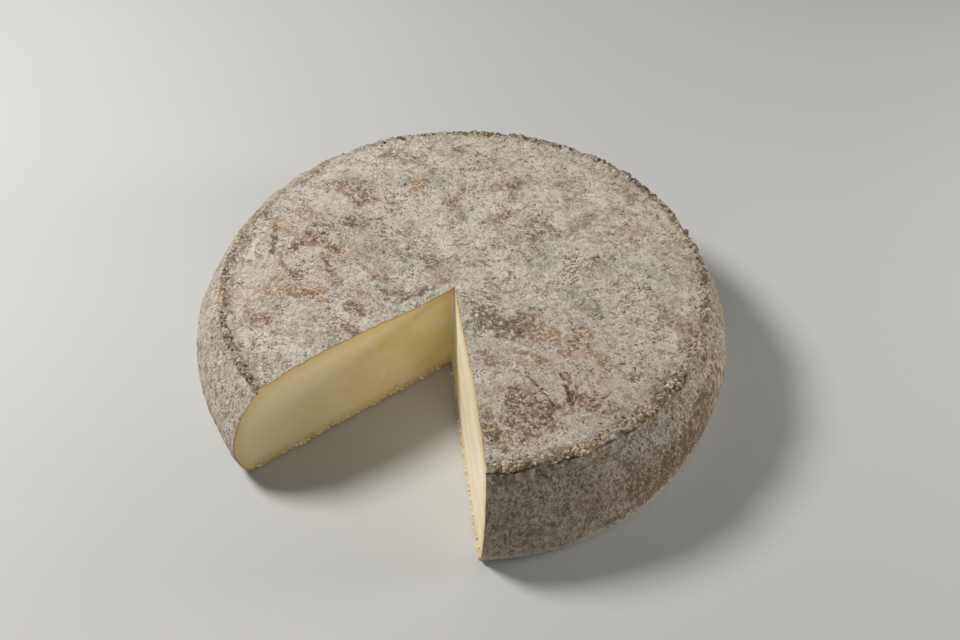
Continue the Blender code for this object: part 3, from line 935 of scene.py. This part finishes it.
# %% Rind rim
SEAM_CRUMBS = (
    (0.34, (0.110, 0.076, 0.046)), (0.44, (0.300, 0.225, 0.150)), (0.54, (0.480, 0.405, 0.305)),
    (0.66, (0.660, 0.590, 0.470)),
)
NOSE_CRUMBS_AND_SHADE = (
    (0.36, (0.045, 0.030, 0.020)), (0.48, (0.130, 0.088, 0.056)), (0.60, (0.330, 0.240, 0.160)),
    (0.72, (0.520, 0.430, 0.310)),
)
GOLD_CRUMBS = (
    (0.30, (0.160, 0.095, 0.038)), (0.44, (0.400, 0.265, 0.110)), (0.56, (0.600, 0.450, 0.230)),
    (0.72, (0.760, 0.660, 0.460)),
)
BORDER_TINT = (0.420, 0.230, 0.100)


def rimmed(rind, colour):
    colour = rind.mix(rind.times(rind.mark("seam"), 0.90), colour, rind.ramp(rind.lumpy, *SEAM_CRUMBS))
    golden = rind.times(rind.mark("gold"), rind.step(rind.noise(0.0034, 41.0, detail=2.0), 0.40, 0.56))
    colour = rind.mix(golden, colour, rind.ramp(rind.lumpy, *GOLD_CRUMBS))
    # The nose: dark brown crumbs mixed with painted shade, less of it where the crumbs are golden.
    plain = rind.minus(0.85, rind.times(rind.mark("gold"), 0.65))
    colour = rind.mix(rind.times(rind.mark("nose"), plain), colour, rind.ramp(rind.lumpy, *NOSE_CRUMBS_AND_SHADE))
    border = rind.times(rind.mark("border"), rind.step(rind.grain, 0.42, 0.56))
    return rind.mix(rind.times(border, 0.70), colour, BORDER_TINT)


# %% [markdown]
# ## The rind's pits and creases, and painted shade in its hollows
# What is low is dark, partly in its own colour and partly as painted shade: the pits between
# crumbs, the wrinkles, the creases and the upright pores of the heel. The line under the lip is a
# painted shadow. The pits come in some areas more than in others. Creases and wrinkles lower the
# bump too, so that colour and relief agree.

# %% Rind pits and creases
CREVICE_DARK_AND_SHADE, DEEPEST_DARK_AND_SHADE = (0.130, 0.100, 0.070), (0.060, 0.042, 0.029)
PIT_AREA_SIZE, GAP_SIZE, PORE_SIZE = 0.0110, 0.0021, (0.0012, 0.0012, 0.0030)
WRINKLE_SIZE = (0.0036, 0.0012, 0.0040)
RIND_RELIEF = 0.0028


# The darkening of low places: partly the rind's own dark pits, partly painted shade in the hollows of the
# relief.
def pits(rind, wrinkles):
    worn = rind.times(rind.plus(rind.mark("brown"), rind.mark("pitted")), 0.025)
    low = rind.step(rind.minus(rind.tone, worn), 0.488, 0.412)
    coarse = rind.most(rind.step(rind.noise(PIT_AREA_SIZE, 61.0, detail=3.0), 0.40, 0.58), rind.mark("heel"))
    low = rind.times(low, rind.plus(rind.times(coarse, 0.65), 0.60))
    gap, _ = rind.cells(GAP_SIZE, 9.0, 0.6)
    gappy = rind.most(rind.mark("seam"), rind.step(rind.mark("pitted"), 0.50, 0.95))
    low = rind.most(low, rind.times(rind.step(gap, 0.38, 0.60), gappy))
    low = rind.most(low, wrinkles)
    pores = rind.step(rind.noise(PORE_SIZE, 43.0, detail=2.0), 0.46, 0.34)
    pores = rind.most(pores, rind.times(rind.step(rind.fleck, 0.48, 0.38), 0.7))
    pores = rind.times(pores, rind.plus(rind.times(rind.step(rind.across, -0.070, 0.0), 0.4), 0.6))
    low = rind.most(low, rind.times(pores, rind.mark("heel")))
    return rind.times(low, rind.minus(1.0, rind.times(rind.foot, 0.4)))


def rind_material():
    rind = Recipe("dry_rind", 0.92)
    shared_noises(rind)
    colour = ground(rind)
    for layer in (stained, heeled, rimmed):
        colour = layer(rind, colour)
    wrinkles = rind.step(rind.noise(WRINKLE_SIZE, 37.0, detail=2.0, turn=-24.0, curl=1.1), 0.47, 0.38)
    wrinkles = rind.times(wrinkles, rind.mark("crinkled"))
    colour = rind.mix(rind.times(pits(rind, wrinkles), 0.80), colour, CREVICE_DARK_AND_SHADE)
    # Creases are partly dark in their own colour and partly painted shade; the line under the lip is painted
    # shadow.
    crease = rind.times(rind.step(rind.mark("crease"), 0.25, 0.8), rind.step(rind.grain, 0.60, 0.44))
    dark = rind.most(crease, rind.step(rind.mark("lip_shadow"), 0.25, 0.85))
    colour = rind.mix(rind.times(dark, 0.80), colour, DEEPEST_DARK_AND_SHADE)
    height = rind.minus(rind.tone, rind.times(dark, 0.16))
    height = rind.minus(height, rind.times(wrinkles, 0.12))
    return rind.finish(colour, height, RIND_RELIEF)


# %% [markdown]
# ## The paste
# Inside, the cheese is smooth, slightly moist and lets a little light through. Under the rind
# it has dried to amber, and a thin brown line marks the rind itself. Every corner of a cut
# knows how deep it lies under the rind, and the colour follows that depth. Near the apex the
# paste is painted more golden, as reflected light, and at the left cut's outer end darker, as
# painted shade.

# %% Paste material
PASTE_CREAM, PASTE_GOLD = (0.850, 0.715, 0.390), (0.800, 0.620, 0.265)
PASTE_RIGHT_CUT_TINT, PASTE_PALE = (0.800, 0.700, 0.485), (0.900, 0.840, 0.680)
PASTE_OUTER_SHADE = (0.700, 0.580, 0.360)
PASTE_AMBER, RIND_LINE = (0.560, 0.390, 0.145), (0.400, 0.245, 0.100)
PASTE_CLOUD_SIZE, PASTE_BLOTCH_SIZE, PASTE_STREAK_SIZE = 0.030, 0.0120, (0.010, 0.060, 0.0085)
PASTE_GRAIN_SIZE, PASTE_RELIEF = (0.004, 0.004, 0.0012), 0.00012
AMBER_DEPTH, AMBER_FULL, LINE_DEPTH, LINE_FULL = 0.0075, 0.0006, 0.0016, 0.0009


def paste_material():
    paste = Recipe("moist_paste", 0.42)
    depth = paste.plus(paste.mark("depth"), paste.times(paste.noise(0.010, 2.0), 0.0010))
    cloud = paste.noise(PASTE_CLOUD_SIZE, 4.0, detail=2.0)
    across = paste.add("ShaderNodeSeparateXYZ", {0: paste.place}).outputs["X"]
    # Golden in some clouds, and towards the apex as a painted reflection of the light thrown back by the
    # facing cut.
    golden = paste.plus(paste.step(cloud, 0.35, 0.75), paste.times(paste.step(across, -0.045, -0.012), 0.6))
    colour = paste.mix(paste.least(golden, 1.0), PASTE_CREAM, PASTE_GOLD)
    right_cut = paste.step(across, -0.0062, -0.0042)
    # The right-hand cut is paler and less yellow than the left.
    colour = paste.mix(paste.times(right_cut, 0.75), colour, PASTE_RIGHT_CUT_TINT)
    streaks = paste.step(paste.noise(PASTE_STREAK_SIZE, 9.0, detail=3.0), 0.42, 0.60)
    colour = paste.mix(paste.times(paste.times(streaks, right_cut), 0.75), colour, PASTE_PALE)
    blotch = paste.step(paste.noise(PASTE_BLOTCH_SIZE, 21.0, detail=4.0, rough=0.6), 0.44, 0.66)
    colour = paste.mix(paste.times(blotch, 0.36), colour, PASTE_PALE)
    # Painted shade: the left cut darker towards its outer end.
    outer_painted_shade = paste.times(paste.step(across, -0.020, -0.070), 0.7)
    colour = paste.mix(outer_painted_shade, colour, PASTE_OUTER_SHADE)
    colour = paste.mix(paste.times(paste.step(depth, AMBER_DEPTH, AMBER_FULL), 0.62), colour, PASTE_AMBER)
    colour = paste.mix(paste.times(paste.step(depth, LINE_DEPTH, LINE_FULL), 0.85), colour, RIND_LINE)
    fine = paste.noise(PASTE_GRAIN_SIZE, 6.0, detail=3.0)
    paste.shader.inputs["Subsurface Weight"].default_value = 0.25
    paste.shader.inputs["Subsurface Radius"].default_value = (1.0, 0.62, 0.22)
    paste.shader.inputs["Subsurface Scale"].default_value = 0.004
    return paste.finish(colour, fine, PASTE_RELIEF)


rind_finish = rind_material()
paste_finish = paste_material()

# %% [markdown]
# ## Cut the wheel
# A boolean takes the block out of the wheel, and each side keeps its own material: rind where
# the old surface is, paste where the knife went. It leaves faces with many corners along the
# knife's path. Most are split as usual, but where two of them might be split along the same
# line, each becomes a fan round its own middle instead, so that the surface stays closed.

# %% Cut out the wedge
def new_object(name, mesh):
    made = bpy.data.objects.new(name, mesh)
    bpy.context.scene.collection.objects.link(made)
    return made


whole.materials.append(rind_finish)
whole.materials.append(paste_finish)
block.materials.append(paste_finish)
rind_tree = BVHTree.FromPolygons([corner.co for corner in whole.vertices],
                                 [tuple(face.vertices) for face in whole.polygons])
uncut, cutter = new_object("uncut", whole), new_object("cutter", block)
cut = uncut.modifiers.new("cut_out_wedge", "BOOLEAN")
cut.operation, cut.solver, cut.object, cut.material_mode = "DIFFERENCE", "MANIFOLD", cutter, "TRANSFER"
cut_mesh = bpy.data.meshes.new_from_object(uncut.evaluated_get(bpy.context.evaluated_depsgraph_get()))
bpy.data.objects.remove(uncut)
bpy.data.objects.remove(cutter)


def possible_chords(face):
    """Pairs of corners that a new edge inside this face could join."""
    sides = {frozenset(edge.verts) for edge in face.edges}
    return {frozenset(pair) for pair in combinations(face.verts, 2)} - sides


def many_sided(shape):
    return [face for face in shape.faces if len(face.verts) > 3]


shape = bmesh.new()
shape.from_mesh(cut_mesh)
joined = {frozenset(edge.verts) for edge in shape.edges}
uses = Counter(chord for face in many_sided(shape) for chord in possible_chords(face))
doubled = {chord for chord, count in uses.items() if count > 1 or chord in joined}
fans = [face for face in many_sided(shape) if possible_chords(face) & doubled]
bmesh.ops.poke(shape, faces=fans)
bmesh.ops.triangulate(shape, faces=many_sided(shape))
bmesh.ops.recalc_face_normals(shape, faces=shape.faces[:])
open_edges = sum(1 for edge in shape.edges if not edge.is_manifold)
shape.to_mesh(cut_mesh)
shape.free()
cut_mesh.name = "cheese"
cut_mesh.shade_smooth()
cheese = new_object("cheese", cut_mesh)
print("cut wheel:", len(cut_mesh.polygons), "triangles,", open_edges, "open edges,",
      [material.name for material in cut_mesh.materials])

# %% [markdown]
# ## Paint the marks and the depth onto the corners
# Colour whose place is listed, such as a rusty band, is stored on the corners of the mesh. The
# materials read it back by name, and their own noise breaks it up.

# %% Store marks and depth
SHARP_ANGLE = 0.7


def store(mesh, name, values):
    layer = mesh.attributes.new(name, "FLOAT", "POINT")
    layer.data.foreach_set("value", values)


def closest_corner(face, spot):
    """The corner of one of the uncut wheel's faces that lies nearest to a spot on it."""
    return min(whole.polygons[face].vertices,
               key=lambda index: (whole.vertices[index].co - spot).length_squared)


nearest = [rind_tree.find_nearest(corner.co) for corner in cut_mesh.vertices]
old_corners = [closest_corner(face, spot) for spot, _, face, _ in nearest]
for name in noted[0]:
    store(cut_mesh, name, [min(max(noted[index][name], 0.0), 1.0) for index in old_corners])
store(cut_mesh, "heel", [1.0 - ease(0.0395, 0.0425, corner.co.z) for corner in cut_mesh.vertices])
store(cut_mesh, "depth", [away for _, _, _, away in nearest])

for edge in cut_mesh.edges:
    edge.use_edge_sharp = False
paste_slot = [material.name for material in cut_mesh.materials].index("moist_paste")
sides = {}
for face in cut_mesh.polygons:
    for key in face.edge_keys:
        sides.setdefault(key, []).append(face)
on_border = set()
for edge in cut_mesh.edges:
    first, second = sides[edge.key][:2]
    other_material = first.material_index != second.material_index
    both_paste = first.material_index == paste_slot and second.material_index == paste_slot
    folded = both_paste and first.normal.angle(second.normal, 0.0) > SHARP_ANGLE
    edge.use_edge_sharp = other_material or folded
    if other_material:
        on_border.update(edge.vertices)
store(cut_mesh, "border", [float(index in on_border) for index in range(len(cut_mesh.vertices))])
print("stored", len(cut_mesh.attributes), "attributes")

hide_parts("cheese_wheel")
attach(cheese, "root")

# %% [markdown]
# ## Loose crumbs on the seam
# Where the two halves of the cloth met, the rind dried into small crumbs of its own. Each is a
# ball of twenty faces with its corners pushed about, half sunk into the lip. A crumb keeps one
# shade, stored on its corners, so that golden, pale and brown crumbs lie side by side.

# %% Seam crumbs
LOOSE_CRUMBS = 1900
CRUMB_TINTS = (
    (0.00, (0.070, 0.045, 0.028)), (0.25, (0.200, 0.140, 0.088)), (0.50, (0.390, 0.315, 0.225)),
    (0.75, (0.600, 0.530, 0.420)), (1.00, (0.640, 0.495, 0.280)),
)
GOLDEN_SPOTS = (
    (-99.5, 7, 1.5, 26), (-99.6, -1, 1.2, 22), (-99.5, -8, 2.0, 60), (-96, -24, 1.8, 50),
    (-90, -40, 1.8, 30), (-94, 31, 2.4, 30), (-97, 21, 2.0, 26), (8, -98.8, 2.6, 60),
    (36, -93, 2.6, 26), (58, -82, 2.6, 26), (64, -76, 2.4, 36), (76, -64, 2.6, 30), (90, -44, 2.4, 26),
    (96, -26, 2.6, 30),
)


def crumb_material():
    crumb = Recipe("dry_crumb", 0.85)
    grain = crumb.noise(0.0006, 3.0, detail=2.0)
    colour = crumb.ramp(crumb.mark("tint"), *CRUMB_TINTS)
    # Darker where the crumb's grain is low: partly its own dark grains, partly painted shade in its hollows.
    colour = crumb.mix(crumb.times(crumb.step(grain, 0.50, 0.36), 0.6), colour, CREVICE_DARK_AND_SHADE)
    return crumb.finish(colour, grain, 0.0003)


def add_crumb(shape, place, size, tint, layer):
    made = bmesh.ops.create_icosphere(shape, subdivisions=1, radius=size)["verts"]
    turn = Quaternion((draw.uniform(-1, 1), draw.uniform(-1, 1), 1.0), draw.uniform(0.0, math.tau))
    for corner in made:
        corner.co = place + turn @ (corner.co * draw.uniform(0.72, 1.25))
        corner[layer] = tint


def crumb_plan(loose):
    """(bearing, tint, size) of each crumb: golden ones in clusters, and loose ones all round."""
    plan = []
    for x, y, spread, count in GOLDEN_SPOTS:
        for _ in range(count):
            bearing = math.atan2(y, x) + draw.gauss(0.0, spread / 100.0 * 0.6)
            plan.append((bearing, draw.uniform(0.25, 1.0), draw.uniform(0.00040, 0.00108)))
    for _ in range(loose):
        bearing = draw.uniform(-math.pi, math.pi)
        if draw.random() > smooth_rim((math.cos(bearing), math.sin(bearing), 0.0)):
            plan.append((bearing, draw.uniform(0.0, 0.8), draw.uniform(0.00030, 0.00085)))
    return plan


def seam_crumbs(tree, plan):
    shape = bmesh.new()
    layer = shape.verts.layers.float.new("tint")
    for bearing, tint, size in plan:
        way = Vector((math.cos(bearing), math.sin(bearing), 0.0))
        aim = way * draw.gauss(0.1003 - rim_width(way) * 0.35, rim_width(way) * 0.42) + TOP_SHIFT
        aim.z = LIP + draw.uniform(-0.0010, 0.0012)
        spot, normal, _, away = tree.find_nearest(aim)
        if away < 0.002 and normal.dot(way) + normal.z > 0.3:
            add_crumb(shape, spot - normal * size * 0.1, size, tint, layer)
    return mesh_from("seam_crumbs", shape)


cheese_tree = BVHTree.FromPolygons([corner.co for corner in cut_mesh.vertices],
                                   [tuple(face.vertices) for face in cut_mesh.polygons])
crumbs = new_object("seam_crumbs", seam_crumbs(cheese_tree, crumb_plan(LOOSE_CRUMBS)))
crumbs.data.materials.append(crumb_material())
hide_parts("cheese_wheel")
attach(crumbs, "root")
print("seam crumbs:", len(crumbs.data.polygons), "triangles")

# %% [markdown]
# ## Crumbs of paste at the foot of the cuts
# A knife drags small crumbs of paste to the foot of its cut, where they stick. They are made
# like those of the seam and sit along the lowest edge of both cuts.

# %% Paste crumbs
PASTE_CRUMBS = 420


def paste_crumbs(tree, count):
    shape = bmesh.new()
    layer = shape.verts.layers.float.new("tint")
    for _ in range(count):
        rim, reach = draw.choice((LEFT_RIM_FOOT, RIGHT_RIM_FOOT)), draw.uniform(0.06, 0.98)
        size = draw.uniform(0.00025, 0.00075)
        place = APEX_FOOT.lerp(rim, reach)
        spot, normal, _, _ = tree.find_nearest(Vector((place.x, place.y, draw.expovariate(1600.0))))
        spot.z = max(spot.z, size * 1.1)
        add_crumb(shape, spot + normal * size * 0.2, size, draw.random(), layer)
    return mesh_from("paste_crumbs", shape)


def paste_crumb_material():
    crumb = Recipe("paste_crumb", 0.5)
    colour = crumb.mix(crumb.times(crumb.mark("tint"), 0.8), PASTE_CREAM, PASTE_AMBER)
    colour = crumb.mix(crumb.times(crumb.noise(0.0008, 2.0), 0.4), colour, PASTE_PALE)
    return crumb.finish(colour, crumb.noise(0.0006, 5.0), 0.0002)


dropped = new_object("paste_crumbs", paste_crumbs(cheese_tree, PASTE_CRUMBS))
dropped.data.materials.append(paste_crumb_material())
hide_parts("cheese_wheel")
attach(dropped, "root")
print("paste crumbs:", len(dropped.data.polygons), "triangles")

# %% [markdown]
# ## The floor
# The cheese needs something to stand on and to throw its shadow on. A plain pale floor lies a
# hair below the wheel, so that the two surfaces don't touch. It is stage, not part of the cheese.

# %% Floor
def floor_material():
    table = Recipe("floor", 0.7)
    tone = table.mix(table.noise(0.30, 1.0), (0.50, 0.50, 0.49), (0.54, 0.54, 0.53))
    return table.finish(tone, table.noise(0.004, 2.0), 0.00005)


floor_shape = bmesh.new()
bmesh.ops.create_grid(floor_shape, x_segments=1, y_segments=1, size=3.0)
bmesh.ops.translate(floor_shape, verts=floor_shape.verts[:], vec=(0.0, 0.0, -0.0002))
floor = new_object("floor", mesh_from("floor", floor_shape))
floor.data.materials.append(floor_material())
